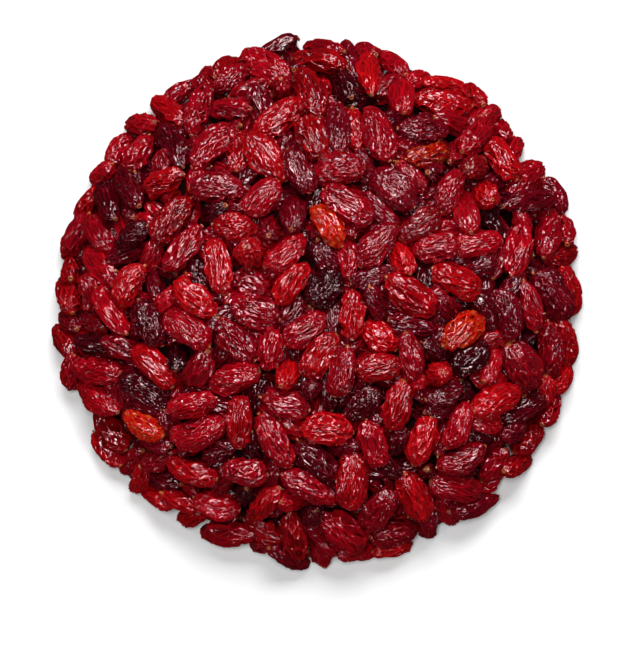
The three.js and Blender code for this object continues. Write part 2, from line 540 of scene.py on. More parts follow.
def fill(heap, tries, where, sink, bite, detail, tones, recess=1.6, size=(6.6, 8.3), ground=False, stop=10**6):
    """Throws further berries: radius share from where, depth under the dome from sink, and each stays if it runs into no
    other by more than bite and doesn't cover what shows from above."""
    grid = height_map(heap)
    c0, r0 = balls(np.array(heap.pos), np.array(heap.axis), np.array(heap.half))
    centres, radii = list(c0.reshape(-1, 3)), list(r0.reshape(-1))
    room = len(centres) + 5 * min(tries, stop)
    C = np.zeros((room, 3))
    R = np.zeros(room)
    n = len(centres)
    C[:n], R[:n] = centres, radii
    up = np.array([0.0, 0.0, 1.0])
    made = 0
    for _ in range(tries):
        share = math.sqrt(rng.uniform(where[0] ** 2, where[1] ** 2))
        az = rng.uniform(0, 2 * math.pi)
        a = rng.uniform(*size) / 2
        b = rng.uniform(4.2, 5.3) / 2
        c = b * rng.uniform(0.84, 0.98)
        half = np.array([a, b, c])
        turn, lean = rng.uniform(0, 2 * math.pi), rng.normal(0, 0.16)
        depth = c + rng.uniform(*sink)
        x, y = share * RADIUS * math.cos(az), share * RADIUS * math.sin(az)
        n0 = up if ground else dome_normal(x, y)
        t1 = np.cross(n0, [math.cos(az), math.sin(az), 0.02])
        t1 /= np.linalg.norm(t1)
        t2 = np.cross(n0, t1)
        axis = (t1 * math.cos(turn) + t2 * math.sin(turn)) * math.cos(lean) + n0 * math.sin(lean)
        out = outward(axis, n0)
        low = extent(axis, out, half, up) + 0.02
        if ground:
            p = np.array([x, y, low])
        else:
            p = np.array([x, y, float(dome_z(share * RADIUS))]) - n0 * depth
            p[2] = max(p[2], low)
        r = math.hypot(p[0], p[1])
        if r > 1e-6:
            radial = np.array([p[0] / r, p[1] / r, 0.0])
            over = r + extent(axis, out, half, radial) - (RADIUS - 0.3)
            if over > 0:
                p -= radial * over
        c1, r1 = balls(p, axis, half)
        d = np.linalg.norm(C[:n, None, :] - c1[None], axis=-1)
        if (R[:n, None] + r1[None] - d).max() > bite:
            continue
        ok = True
        for (x, y, z), q in zip(c1, r1):
            top = grid[int(x / CELL + HALF_GRID), int(y / CELL + HALF_GRID)]
            cap = top + 0.2 if top > -5 else float(dome_z(math.hypot(x, y))) - recess
            if not ground and z + q > cap:
                ok = False
                break
        if not ok:
            continue
        heap.add(p, axis, out, half, 3, rng.choice(list(tones)), rng.choice(["m", "m", "f", "g"]), detail)
        C[n : n + 5], R[n : n + 5] = c1, r1
        n += 5
        made += 1
        if made >= stop:
            break
    return made


def patch_tops(c1, r1):
    """The cells of the plan that five balls cover, and the height of their upper side there."""
    out_i, out_j, out_z = [], [], []
    for (x, y, z), q in zip(c1, r1):
        i = np.arange(int((x - q) / CELL) - 1, int((x + q) / CELL) + 2) + HALF_GRID
        j = np.arange(int((y - q) / CELL) - 1, int((y + q) / CELL) + 2) + HALF_GRID
        gi, gj = np.meshgrid(i, j, indexing="ij")
        d = q * q - ((gi - HALF_GRID + 0.5) * CELL - x) ** 2 - ((gj - HALF_GRID + 0.5) * CELL - y) ** 2
        keep = (d > 0) & (gi >= 0) & (gj >= 0) & (gi < 2 * HALF_GRID) & (gj < 2 * HALF_GRID)
        out_i.append(gi[keep])
        out_j.append(gj[keep])
        out_z.append(z + np.sqrt(d[keep]))
    return np.concatenate(out_i), np.concatenate(out_j), np.concatenate(out_z)


def fill_gaps(heap, rounds, bite, tones, gap=3.2):
    """Puts a berry into each gap between those that show, as high as it fits below them."""
    seen = height_map(heap)
    full = seen.copy()
    c0, r0 = balls(np.array(heap.pos), np.array(heap.axis), np.array(heap.half))
    C, R = c0.reshape(-1, 3), r0.reshape(-1)
    gx = (np.arange(2 * HALF_GRID) - HALF_GRID + 0.5) * CELL
    rr = np.hypot(gx[:, None], gx[None, :])
    dome = dome_z(np.minimum(rr, RADIUS * 0.999))
    tried = np.zeros(full.shape, int)
    made = 0
    for _ in range(rounds):
        depth = np.where((rr < RADIUS - 1.8) & (tried < 2), dome - full, 0.0)
        deep = np.argwhere(depth > max(gap, depth.max() * 0.6))
        if len(deep) == 0:
            break
        i, j = deep[rng.integers(len(deep))]
        near = np.hypot(C[:, 0] - gx[i], C[:, 1] - gx[j]) < 8.5
        Cn, Rn = C[near], R[near]
        best = None
        for _ in range(16):
            half = np.array([rng.uniform(3.1, 3.9), rng.uniform(1.9, 2.45), 0.0])
            half[2] = half[1] * rng.uniform(0.84, 0.98)
            x, y = gx[i] + rng.normal(0, 0.8), gx[j] + rng.normal(0, 0.8)
            n0 = dome_normal(x, y)
            az = math.atan2(y, x)
            t1 = unit(np.cross(n0, [math.cos(az), math.sin(az), 0.02]))
            t2 = np.cross(n0, t1)
            turn, lean = rng.uniform(0, 2 * math.pi), rng.normal(0, 0.45)
            axis = (t1 * math.cos(turn) + t2 * math.sin(turn)) * math.cos(lean) + n0 * math.sin(lean)
            out = outward(axis, n0)
            top = np.array([x, y, float(dome_z(min(math.hypot(x, y), RADIUS * 0.999)))])
            thick = extent(axis, out, half, n0)
            low = extent(axis, out, half, np.array([0.0, 0.0, 1.0])) + 0.02
            for sink in (0.6, 1.1, 1.7, 2.3, 3.0, 3.8):
                if best is not None and sink >= best[0]:
                    break
                p = top - n0 * (thick + sink)
                p[2] = max(p[2], low)
                c1, r1 = balls(p, axis, half)
                if (Rn[:, None] + r1[None] - np.linalg.norm(Cn[:, None, :] - c1[None], axis=-1)).max() > bite:
                    continue
                pi, pj, pz = patch_tops(c1, r1)
                if ((seen[pi, pj] > -5) & (pz > seen[pi, pj] - 0.1)).sum() > 8:
                    continue
                best = (sink, p, axis, out, half, c1, r1, pi, pj, pz)
                break
        if best is None:
            tried[max(i - 1, 0):i + 2, max(j - 1, 0):j + 2] += 1
            continue
        _, p, axis, out, half, c1, r1, pi, pj, pz = best
        heap.add(p, axis, out, half, 3, rng.choice(list(tones)), rng.choice(["m", "m", "m", "g"]), 2)
        C, R = np.concatenate([C, c1]), np.concatenate([R, r1])
        np.maximum.at(full, (pi, pj), pz)
        tried[i, j] += 1
        made += 1
    return made


def fill_rim(heap, rounds, bite, tones):
    """Puts low berries where the table would show between the outermost ones, without changing the outline."""
    full = height_map(heap, 0.40)
    gx = (np.arange(2 * HALF_GRID) - HALF_GRID + 0.5) * CELL
    rr = np.hypot(gx[:, None], gx[None, :])
    turn_of = ((np.arctan2(gx[None, :], gx[:, None]) % (2 * math.pi)) / (2 * math.pi) * 240).astype(int) % 240
    covered = full > -5
    edge = np.zeros(240)
    np.maximum.at(edge, turn_of[covered], rr[covered])
    limit = edge[turn_of] - 0.2
    c0, r0 = balls(np.array(heap.pos), np.array(heap.axis), np.array(heap.half))
    C, R = c0.reshape(-1, 3), r0.reshape(-1)
    up = np.array([0.0, 0.0, 1.0])
    made = 0
    for _ in range(rounds):
        bare = np.argwhere(~covered & (rr < limit - 0.4))
        if len(bare) == 0:
            break
        i, j = bare[rng.integers(len(bare))]
        near = np.hypot(C[:, 0] - gx[i], C[:, 1] - gx[j]) < 8.5
        Cn, Rn = C[near], R[near]
        best = None
        for go in range(80):
            half = np.array([rng.uniform(2.9, 3.7), rng.uniform(1.8, 2.3), 0.0])
            if go > 30:
                half = half * (rng.uniform(0.62, 0.85) if go < 56 else rng.uniform(0.38, 0.62))
            half[2] = half[1] * rng.uniform(0.84, 0.98)
            turn, lean = rng.uniform(0, 2 * math.pi), rng.normal(0, 0.30)
            axis = np.array([math.cos(turn) * math.cos(lean), math.sin(turn) * math.cos(lean), math.sin(lean)])
            out = outward(axis, up)
            low = extent(axis, out, half, up) + 0.02
            p = np.array([gx[i] + rng.normal(0, 1.2), gx[j] + rng.normal(0, 1.2), low + rng.uniform(0, 2.0) ** 2 * 0.6])
            c1, r1 = balls(p, axis, half)
            if (Rn[:, None] + r1[None] - np.linalg.norm(Cn[:, None, :] - c1[None], axis=-1)).max() > bite + 0.8 * (go > 55):
                continue
            pi, pj, pz = patch_tops(c1, r1)
            if (~covered[pi, pj] & (rr[pi, pj] > limit[pi, pj])).sum() > 3:
                continue
            if (covered[pi, pj] & (pz > full[pi, pj] - 0.1)).sum() > 8 + 25 * (go > 55):
                continue
            gain = len(set(zip(pi[~covered[pi, pj]].tolist(), pj[~covered[pi, pj]].tolist())))
            if gain > (best[0] if best else 2):
                best = (gain, p, axis, out, half, c1, r1, pi, pj)
        if best is None:
            covered[max(i - 1, 0):i + 2, max(j - 1, 0):j + 2] = True
            continue
        _, p, axis, out, half, c1, r1, pi, pj = best
        heap.add(p, axis, out, half, 3, rng.choice(list(tones)), rng.choice(["m", "m", "g"]), 2)
        C, R = np.concatenate([C, c1]), np.concatenate([R, r1])
        covered[pi, pj] = True
        made += 1
    return made


# ---------------------------------------------------------------- a berry's wrinkled skin
# A dried berry's skin is a net of thin raised ridges with sunken facets between them. The net is a Voronoi net on a
# ball, mapped to the berry so that its cells are long and narrow along the sides and meet in a star at both ends.
#   cells at full detail, depth of the facets in mm, how far the ridge's foot lies from the middle, gloss
SKIN = {
    "g": (46, (0.58, 0.80), 0.77, (0.75, 1.0)),
    "m": (80, (0.48, 0.68), 0.72, (0.5, 1.0)),
    "f": (118, (0.34, 0.47), 0.70, (0.3, 0.7)),
}
#   share of the cells, and whether a facet has a floor of its own
DETAIL = {0: (1.0, True), 1: (0.86, True), 2: (0.54, True), 3: (0.34, False)}


PHI = np.linspace(0, math.pi, 400)


def ball_points(n, long, jitter):
    """n uneven but well spread points of a ball that is long times as long as wide, the first at the eye end and the
    last at the stem end."""
    area = np.cumsum(np.sin(PHI) * np.sqrt((long * np.sin(PHI)) ** 2 + np.cos(PHI) ** 2))
    phi = math.pi - np.interp(np.arange(1, n - 1) / (n - 1), (area - area[0]) / (area[-1] - area[0]), PHI)
    turn = np.arange(1, n - 1) * 2.399963 + rng.uniform(0, 6.28)
    p = np.stack([long * np.cos(phi), np.sin(phi) * np.cos(turn), np.sin(phi) * np.sin(turn)], 1)
    gap = math.sqrt(4 * math.pi * (0.2 + 0.7 * long) / n)
    p = p + rng.normal(0, jitter * gap, p.shape)
    return on_ball(np.concatenate([[[-long, 0, 0]], p, [[long, 0, 0]]]), long)


def on_ball(p, long):
    """Points moved on to the long ball."""
    q = p / np.array([long, 1.0, 1.0])
    return q / np.linalg.norm(q, axis=1, keepdims=True) * np.array([long, 1.0, 1.0])


def middle(a, b, c):
    """The middles of triangles, between the centroid and the circumcentre."""
    u, v = b - a, c - a
    w = np.cross(u, v)
    k = np.maximum((w * w).sum(1, keepdims=True), 1e-9)
    out = a + (np.cross(w, u) * (v * v).sum(1, keepdims=True) + np.cross(v, w) * (u * u).sum(1, keepdims=True)) / (2 * k)
    flat = (a + b + c) / 3
    off = out - flat
    size = np.sqrt(np.sqrt(k))
    off = off * np.minimum(1.0, 0.6 * size / np.maximum(np.linalg.norm(off, axis=1, keepdims=True), 1e-6))
    return flat + off * 0.5


def hull(points):
    """The triangles of the convex hull, facing out."""
    bm = bmesh.new()
    for p in points:
        bm.verts.new(p)
    bm.verts.index_update()
    bmesh.ops.convex_hull(bm, input=bm.verts)
    bm.verts.index_update()
    bmesh.ops.triangulate(bm, faces=bm.faces)
    tris = np.array([[v.index for v in f.verts] for f in bm.faces])
    co = np.array([v.co[:] for v in bm.verts])
    bm.free()
    a, b, c = co[tris[:, 0]], co[tris[:, 1]], co[tris[:, 2]]
    back = (np.cross(b - a, c - a) * (a + b + c)).sum(1) < 0
    tris[back] = tris[back][:, ::-1]
    return co, tris


def unit(v):
    return v / np.linalg.norm(v, axis=-1, keepdims=True)


def berry_mesh(half, skin, detail, end_on=False):
    """One closed berry about its own middle, x along it to the stem end, z out of the heap. Returns the vertices, the
    triangles and what the skin's finish reads: place on the ridges, stem, eye and gloss."""
    a, b, c = half
    cells, (d0, d1), foot, gloss = SKIN[skin]
    share, floors = DETAIL[detail]
    n = max(16, int(cells * share * rng.uniform(0.85, 1.15) * (b / 2.45) ** 0.7))
    if detail == 3:
        n = int(rng.integers(26, 38))
    depth = rng.uniform(d0, d1) * (0.8 if detail == 3 else 1.0)
    # a berry seen end on has ridges that run out from the eye, the others a net with longer or shorter cells
    long = 1.1 if end_on else rng.uniform(2.0, 3.2)
    centre, tri = hull(ball_points(n, long, 0.16 if end_on else 0.27))
    n, nt = len(centre), len(tri)
    corner = on_ball(middle(centre[tri[:, 0]], centre[tri[:, 1]], centre[tri[:, 2]]), long)
    # every side of every cell, with the corner before it and the corner after it
    cell = tri.reshape(-1)
    other = np.roll(tri, -1, 1).reshape(-1)
    left = np.repeat(np.arange(nt), 3)
    key, back = cell * n + other, other * n + cell
    order = np.argsort(key)
    twin = order[np.searchsorted(key[order], back)]
    right = left[twin]
    in_left = np.arange(3 * nt)
    in_right = (twin // 3) * 3 + (twin % 3 + 1) % 3
    edge_of = np.minimum(np.arange(3 * nt), twin)
    edges, side = np.unique(edge_of, return_inverse=True)
    ne = len(edges)
    v1, v2 = corner[left[edges]], corner[right[edges]]
    across = unit(centre[cell[edges]] - centre[other[edges]])
    span = np.linalg.norm(v1 - v2, axis=1, keepdims=True)
    mid = on_ball((v1 + v2) / 2 + across * span * rng.normal(0, 0.11, (ne, 1)), long)
    # ridges along the berry stand up, ridges across it are lower and some nearly vanish
    grad = unit(mid / np.array([long**2, 1.0, 1.0]))
    lengthwise = np.array([1.0, 0, 0]) - grad * grad[:, :1]
    lengthwise = lengthwise / np.maximum(np.linalg.norm(lengthwise, axis=1, keepdims=True), 1e-6)
    along = np.abs((unit(v1 - v2) * lengthwise).sum(1))
    ends = np.clip((np.abs(mid[:, 0]) / long - 0.5) / 0.3, 0, 1)
    weak = (1 - along) * rng.uniform(0.0, 0.65, ne) * (1 + 0.9 * ends) + rng.uniform(0, 0.75, ne) ** 2
    weak = np.clip(weak, 0.0, 0.85)
    crest = -depth * weak * 0.9
    corner_h = np.full(nt, -9.0)
    for e, t in ((crest, left[edges]), (crest, right[edges])):
        np.maximum.at(corner_h, t, e)
    corner_h = corner_h * 0.8 + rng.uniform(-0.02, 0.04, nt)
    cell_d = -depth * rng.uniform(0.45, 1.35, n)
    cell_d[0] = -0.10
    cell_d[-1] *= 0.4
    # ridge is 1 on the crests and 0 in the middles of the facets; the finish darkens the colour by it, as painted shade
    # in the valleys
    ball, h, ridge = [corner, mid, centre], [corner_h, crest, cell_d * rng.uniform(0.55, 1.05, n)], [np.ones(nt), np.ones(ne), np.zeros(n)]
    if floors:
        inset = on_ball(centre[cell] * (1 - foot) + corner[left] * foot, long)
        ball.append(inset)
        h.append(cell_d[cell] * rng.uniform(0.50, 0.78, 3 * nt) + 0.35 * corner_h[left])
        ridge.append(np.full(3 * nt, 0.12))
    ball, h, ridge = np.concatenate(ball) / np.array([long, 1.0, 1.0]), np.concatenate(h), np.concatenate(ridge)
    o_mid, o_cell, o_in = nt, nt + ne, nt + ne + n
    m, ce = o_mid + side, o_cell + cell
    if floors:
        il, ir = o_in + in_left, o_in + in_right
        tris = np.concatenate([np.stack(s, 1) for s in ((right, m, ir), (m, left, il), (ir, m, il), (ce, ir, il))])
    else:
        tris = np.concatenate([np.stack(s, 1) for s in ((ce, right, m), (ce, m, left))])
    # from the ball to the berry: cells get longer along the sides, and narrower on the side that shows
    u = np.arccos(np.clip(ball[:, 0], -1, 1)) / math.pi
    k = 0.55 if end_on else rng.uniform(0.05, 0.40)
    phi = math.pi * (u - k * np.sin(2 * math.pi * u) / (2 * math.pi))
    theta = np.arctan2(ball[:, 2], ball[:, 1])
    theta = theta + (0.0 if end_on else 0.5) * np.cos(theta)
    n1, n2 = rng.uniform(2.3, 3.0), rng.uniform(2.0, 2.5)
    cosp = np.cos(phi)
    t = np.sign(cosp) * np.abs(cosp) ** (2 / n1)
    prof = np.maximum(np.sin(phi), 0) ** (2 / n2)
    theta = theta + rng.normal(0, 0.16) * t + rng.normal(0, 0.07) * np.sin(3 * t + rng.uniform(0, 6.28))
    stem_in, eye_in = rng.uniform(0.05, 0.24), rng.uniform(0.0, 0.10)
    rad = prof * (1 - stem_in * ((t + 1) / 2) ** 2 - eye_in * ((1 - t) / 2) ** 2)
    # broad form: facets round the girth, a dent or two
    form = np.zeros_like(theta)
    for w, amp in ((2, 0.050), (3, 0.055), (4, 0.045), (5, 0.035)):
        form += amp * rng.normal() * np.cos(w * theta + rng.uniform(0, 6.28) + rng.uniform(-1.4, 1.4) * t)
    for _ in range(int(rng.integers(2, 5))):
        dt = (theta - rng.uniform(0, 2 * math.pi) + math.pi) % (2 * math.pi) - math.pi
        dx = (t - rng.uniform(-0.7, 0.7)) * a / b
        form -= rng.uniform(0.04, 0.20) * np.exp(-((dt / rng.uniform(0.3, 0.6)) ** 2) - (dx / rng.uniform(0.35, 0.9)) ** 2)
    rad = rad * (1 + form)
    normal = np.stack([
        np.sign(t) * np.abs(t) ** (n1 - 1) / a,
        prof ** (n2 - 1) * np.cos(theta) / b,
        prof ** (n2 - 1) * np.sin(theta) / c], 1)
    normal = unit(normal + 1e-9)
    verts = np.stack([t * a, np.cos(theta) * rad * b, np.sin(theta) * rad * c], 1)
    wave = np.zeros(len(verts))
    for _ in range(4):
        f = rng.normal(0, 1.0, 3) * np.array([0.55, 0.9, 0.9])
        wave += np.sin(verts @ f * 1.6 + rng.uniform(0, 6.28))
    verts = verts + normal * (h * (1 - 0.35 * ends_of(t)) + 0.075 * wave)[:, None]
    bend_y, bend_z = rng.normal(0, 0.06) * b, -abs(rng.normal(0, 0.06)) * c
    verts[:, 1] += bend_y * (t * t * 2 - 0.6)
    verts[:, 2] += bend_z * (t * t * 2 - 0.6)
    y0, z0 = bend_y * 1.4, bend_z * 1.4
    # the skin is a little tan round the eye, and pale at the stem end
    rr = np.hypot(verts[:, 1] - y0, verts[:, 2] - z0)
    eye = np.where(t < -0.7, np.clip(1 - rr / rng.uniform(0.55, 0.8), 0, 1), 0.0) * 0.22
    stem = np.where(t > 0.7, np.clip(1.5 - rr / rng.uniform(0.35, 0.6), 0, 1), 0.0) * rng.uniform(0.2, 0.8)
    shade = [np.stack([ridge, stem, eye], 1)]
    parts_v, parts_t = [verts], [tris]
    # the stem's stub, a small blunt knob let into the end, and the eye, a small ring round a dark pit
    tip, pole = verts[o_cell + n - 1], verts[o_cell]
    size, reach = rng.uniform(0.13, 0.31), rng.uniform(0.08, 0.45)
    stub = ((-0.42, 0.0, 0), (-0.30, 0.8, 0), (0.05, 1.15, 0), (reach, 0.75, 0), (reach + 0.06, 0.0, 0))
    ring = ((-0.30, 0.0, 0.45), (-0.22, 0.95, 0.45), (0.02, 1.0, 0.45), (0.10, 0.78, 0.5), (0.06, 0.50, 0.6), (-0.04, 0.34, 1.0), (-0.06, 0.0, 1.0))
    extra = []
    if detail <= 2 and rng.random() < 0.55:
        extra.append((tip, 1.0, stub, size, 6, rng.uniform(0.6, 1.0)))
    if detail <= 1:
        extra.append((pole, -1.0, ring, rng.uniform(0.34, 0.46), 8, 0.0))
    for at, way, profile, wide, s, is_stem in extra:
        ang = -way * np.arange(s) * 2 * math.pi / s
        kv = [[at[0] + way * profile[0][0], at[1], at[2]]]
        marks = [profile[0][2]]
        for reach_x, share_r, mark in profile[1:-1]:
            wob = wide * share_r * (1 + rng.normal(0, 0.07, s))
            xk = at[0] + way * (reach_x + rng.normal(0, 0.02, s))
            kv += list(np.stack([xk, np.cos(ang) * wob + at[1], np.sin(ang) * wob + at[2]], 1))
            marks += [mark] * s
        kv.append([at[0] + way * profile[-1][0], at[1], at[2]])
        marks.append(profile[-1][2])
        kv, marks = np.array(kv), np.array(marks)
        j = np.arange(s)
        j1 = (j + 1) % s
        last = len(kv) - 1
        kt = [np.stack([np.zeros(s, int), 1 + j, 1 + j1], 1)]
        for i in range(len(profile) - 3):
            p, q = 1 + i * s, 1 + (i + 1) * s
            kt += [np.stack([p + j, q + j, q + j1], 1), np.stack([p + j, q + j1, p + j1], 1)]
        p = 1 + (len(profile) - 3) * s
        kt.append(np.stack([p + j, np.full(s, last), p + j1], 1))
        parts_t.append(np.concatenate(kt) + sum(len(v) for v in parts_v))
        parts_v.append(kv)
        shade.append(np.stack([np.full(len(kv), 0.6), np.full(len(kv), is_stem), marks * (1 - (is_stem > 0))], 1))
    verts, shade = np.concatenate(parts_v), np.concatenate(shade)
    shine = np.full((len(verts), 1), rng.uniform(*gloss))
    return verts, np.concatenate(parts_t), np.concatenate([shade, shine], 1)


def ends_of(t):
    """1 at either end of a berry, 0 along its sides."""
    return np.clip((np.abs(t) - 0.85) / 0.15, 0, 1)


def joined(name, meshes):
    """One mesh object from many berries, with the values that its finish reads."""
    verts = np.concatenate([m[0] for m in meshes])
    base = np.cumsum([0] + [len(m[0]) for m in meshes[:-1]])
    tris = np.concatenate([m[1] + b for m, b in zip(meshes, base)]).astype(np.int32)
    me = bpy.data.meshes.new(name)
    me.vertices.add(len(verts))
    me.vertices.foreach_set("co", (verts * MM).astype(np.float32).ravel())
    me.loops.add(tris.size)
    me.loops.foreach_set("vertex_index", tris.ravel())
    me.polygons.add(len(tris))
    me.polygons.foreach_set("loop_start", np.arange(0, tris.size, 3, dtype=np.int32))
    me.polygons.foreach_set("use_smooth", np.ones(len(tris), bool))
    me.update(calc_edges=True)
    local = np.concatenate([m[2] for m in meshes])
    shade = np.concatenate([m[3] for m in meshes])
    me.attributes.new("skin_at", "FLOAT_VECTOR", "POINT").data.foreach_set("vector", local.astype(np.float32).ravel())
    for i, key in enumerate(("ridge", "stem", "eye", "gloss", "tone")):
        me.attributes.new(key, "FLOAT", "POINT").data.foreach_set("value", shade[:, i].astype(np.float32).copy())
    ob = bpy.data.objects.new(name, me)
    bpy.context.scene.collection.objects.link(ob)
    return ob, len(tris)


# ---------------------------------------------------------------- the finish
def node(tree, kind, **values):
    n = tree.nodes.new(kind)
    for key, v in values.items():
        if key in n.inputs:
            n.inputs[key].default_value = v
        else:
            setattr(n, key, v)
    return n


def math_node(tree, op, a, b=None, clamp=False):
    n = tree.nodes.new("ShaderNodeMath")
    n.operation = op
    n.use_clamp = clamp
    for i, v in enumerate((a, b)):
        if v is None:
            continue
        if isinstance(v, (int, float)):
            n.inputs[i].default_value = v
        else:
            tree.links.new(v, n.inputs[i])
    return n.outputs[0]


def blend_colour(tree, fac, a, b, mode="MIX"):
    n = tree.nodes.new("ShaderNodeMix")
    n.data_type = "RGBA"
    n.blend_type = mode
    n.clamp_factor = True
    for sock, v in ((n.inputs[0], fac), (n.inputs[6], a), (n.inputs[7], b)):
        if isinstance(v, (int, float)):
            sock.default_value = v
        elif isinstance(v, tuple):
            sock.default_value = (*v, 1.0)
        else:
            tree.links.new(v, sock)
    return n.outputs[2]


def ranged(tree, value, a0, a1, b0, b1):
    n = tree.nodes.new("ShaderNodeMapRange")
    tree.links.new(value, n.inputs[0])
    for i, v in enumerate((a0, a1, b0, b1)):
        n.inputs[1 + i].default_value = v
    return n.outputs[0]


def noise(tree, vector, scale, stretch, detail=2.0, rough=0.5, kind="ShaderNodeTexNoise"):
    m = tree.nodes.new("ShaderNodeMapping")
    m.inputs["Scale"].default_value = stretch
    tree.links.new(vector, m.inputs["Vector"])
    n = tree.nodes.new(kind)
    n.inputs["Scale"].default_value = scale
    if kind == "ShaderNodeTexNoise":
        n.inputs["Detail"].default_value = detail
        n.inputs["Roughness"].default_value = rough
    else:
        n.feature = "DISTANCE_TO_EDGE"
    tree.links.new(m.outputs[0], n.inputs["Vector"])
    return n.outputs["Fac"] if kind == "ShaderNodeTexNoise" else n.outputs["Distance"]


def berry_finish(name, light, mid, dark, patch, rough=(0.09, 0.03), sss=0.10, specular=0.74):
    """Dried skin: three shades of one colour by tone, patches, painted shade in the valleys between the ridges with a
    little painted light on the crests, a tan stem and a dark eye.
    """
    mat = bpy.data.materials.new(name)
    mat.use_nodes = True
    t = mat.node_tree
    t.nodes.clear()
    at = {k: node(t, "ShaderNodeAttribute", attribute_name=k) for k in ("skin_at", "ridge", "stem", "eye", "gloss", "tone")}
    where = at["skin_at"].outputs["Vector"]
    val = {k: at[k].outputs["Fac"] for k in ("ridge", "stem", "eye", "gloss", "tone")}
    broad = noise(t, where, 0.42, (0.6, 1.0, 1.0), 2.0, 0.55)
    small = noise(t, where, 2.1, (0.5, 1.0, 1.0), 3.0, 0.6)
    tone = math_node(t, "ADD", val["tone"], math_node(t, "MULTIPLY", math_node(t, "SUBTRACT", broad, 0.5), 1.3))
    colour = blend_colour(t, ranged(t, tone, 0.0, 0.5, 0.0, 1.0), dark, mid)
    colour = blend_colour(t, ranged(t, tone, 0.5, 1.0, 0.0, 1.0), colour, light)
    colour = blend_colour(t, ranged(t, small, 0.52, 0.78, 0.0, 0.75), colour, patch)
    # painted shade and light: the colour is darkened down to 0.55 in the sunken facets and lifted a little on the ridge
    # crests, as shade in the creases and light on the crests
    low = ranged(t, val["ridge"], 0.0, 0.8, 0.55, 1.05)
    shade = t.nodes.new("ShaderNodeCombineColor")
    for i in range(3):
        t.links.new(low, shade.inputs[i])
    colour = blend_colour(t, 1.0, colour, shade.outputs[0], "MULTIPLY")
    colour = blend_colour(t, ranged(t, val["stem"], 0.25, 0.8, 0.0, 0.85), colour, (0.40, 0.12, 0.035))
    ring = ranged(t, val["eye"], 0.05, 0.45, 0.0, 0.8)
    colour = blend_colour(t, ring, colour, (0.36, 0.085, 0.030))
    colour = blend_colour(t, ranged(t, val["eye"], 0.62, 0.85, 0.0, 0.95), colour, (0.020, 0.005, 0.004))
    wrinkle = noise(t, where, 1.15, (0.6, 1.0, 1.0), kind="ShaderNodeTexVoronoi")
    net = ranged(t, wrinkle, 0.0, 0.16, 1.0, 0.0)
    grain = noise(t, where, 1.9, (0.6, 1.0, 1.0), 1.0, 0.45)
    lift = math_node(t, "ADD", net, math_node(t, "MULTIPLY", grain, 0.25))
    bump = t.nodes.new("ShaderNodeBump")
    bump.inputs["Strength"].default_value = 0.5
    bump.inputs["Distance"].default_value = 0.00007
    t.links.new(lift, bump.inputs["Height"])
    b = t.nodes.new("ShaderNodeBsdfPrincipled")
    t.links.new(colour, b.inputs["Base Color"])
    gloss = ranged(t, math_node(t, "ADD", val["gloss"], math_node(t, "MULTIPLY", math_node(t, "SUBTRACT", small, 0.5), 0.8)), 0.0, 1.0, rough[0], rough[1])
    t.links.new(gloss, b.inputs["Roughness"])
    t.links.new(bump.outputs[0], b.inputs["Normal"])
    b.inputs["IOR"].default_value = 1.5
    b.inputs["Specular IOR Level"].default_value = specular
    b.inputs["Specular Tint"].default_value = (1.0, 0.80, 0.82, 1.0)
    b.inputs["Subsurface Weight"].default_value = sss
    b.inputs["Subsurface Radius"].default_value = (1.0, 0.12, 0.08)
    b.inputs["Subsurface Scale"].default_value = 0.0012
    out = t.nodes.new("ShaderNodeOutputMaterial")
    t.links.new(b.outputs[0], out.inputs[0])
    return mat


FINISH = {
    "O": ("scarlet_orange", (0.60, 0.009, 0.003), (0.44, 0.003, 0.002), (0.23, 0.001, 0.002), (0.72, 0.16, 0.012)),
    "S": ("scarlet", (0.46, 0.002, 0.005), (0.32, 0.001, 0.004), (0.15, 0.0007, 0.003), (0.60, 0.007, 0.006)),
    "C": ("crimson", (0.40, 0.0015, 0.007), (0.26, 0.001, 0.006), (0.12, 0.0005, 0.004), (0.48, 0.003, 0.008)),
    "M": ("maroon", (0.20, 0.001, 0.007), (0.105, 0.0007, 0.005), (0.050, 0.0005, 0.003), (0.27, 0.002, 0.008)),
    "K": ("near_black", (0.085, 0.001, 0.005), (0.038, 0.0007, 0.003), (0.016, 0.0005, 0.002), (0.12, 0.002, 0.006)),
}


def core_object():
    """The middle that the berries lie round, a lumpy dome with a flat underside, painted near black as the shade deep
    between the berries.
    """
    me = bpy.data.meshes.new("heap_core")
    rings, cols = 26, 96
    verts, tris = [], []
    lump = [(rng.integers(3, 19), rng.integers(2, 12), rng.uniform(0, 6.28), rng.uniform(0, 6.28)) for _ in range(18)]
    for i in range(1, rings + 1):
        u = i / rings * math.pi / 2
        for j in range(cols):
            az = 2 * math.pi * j / cols
            w = sum(math.sin(m * az + p) * math.sin(n * u + q) for m, n, p, q in lump) / 6
            k = 1 + 0.035 * w
            r = (RADIUS - 6.6) * math.sin(u) ** (2 / SHOULDER) * k
            z = 0.5 + (HEIGHT - 6.4) * max(math.cos(u), 0.0) ** (2 / SIDE_ROUND) * (1 + 0.03 * w)
            if i == rings:
                z = 0.5
            verts.append((r * math.cos(az), r * math.sin(az), z))
    top, foot = len(verts), len(verts) + 1
    verts += [(0, 0, HEIGHT - 5.9), (0, 0, 0.5)]
    for j in range(cols):
        k = (j + 1) % cols
        tris.append((top, j, k))
        for i in range(rings - 1):
            p, q = i * cols, (i + 1) * cols
            tris.append((p + j, q + j, q + k))
            tris.append((p + j, q + k, p + k))
        p = (rings - 1) * cols
        tris.append((foot, p + k, p + j))
    v = np.array(verts)
    shade = np.zeros((len(v), 5))
    shade[:, 3], shade[:, 4] = 0.35, 0.2
    return joined("heap_core", [(v, np.array(tris), v + 100.0, shade)])


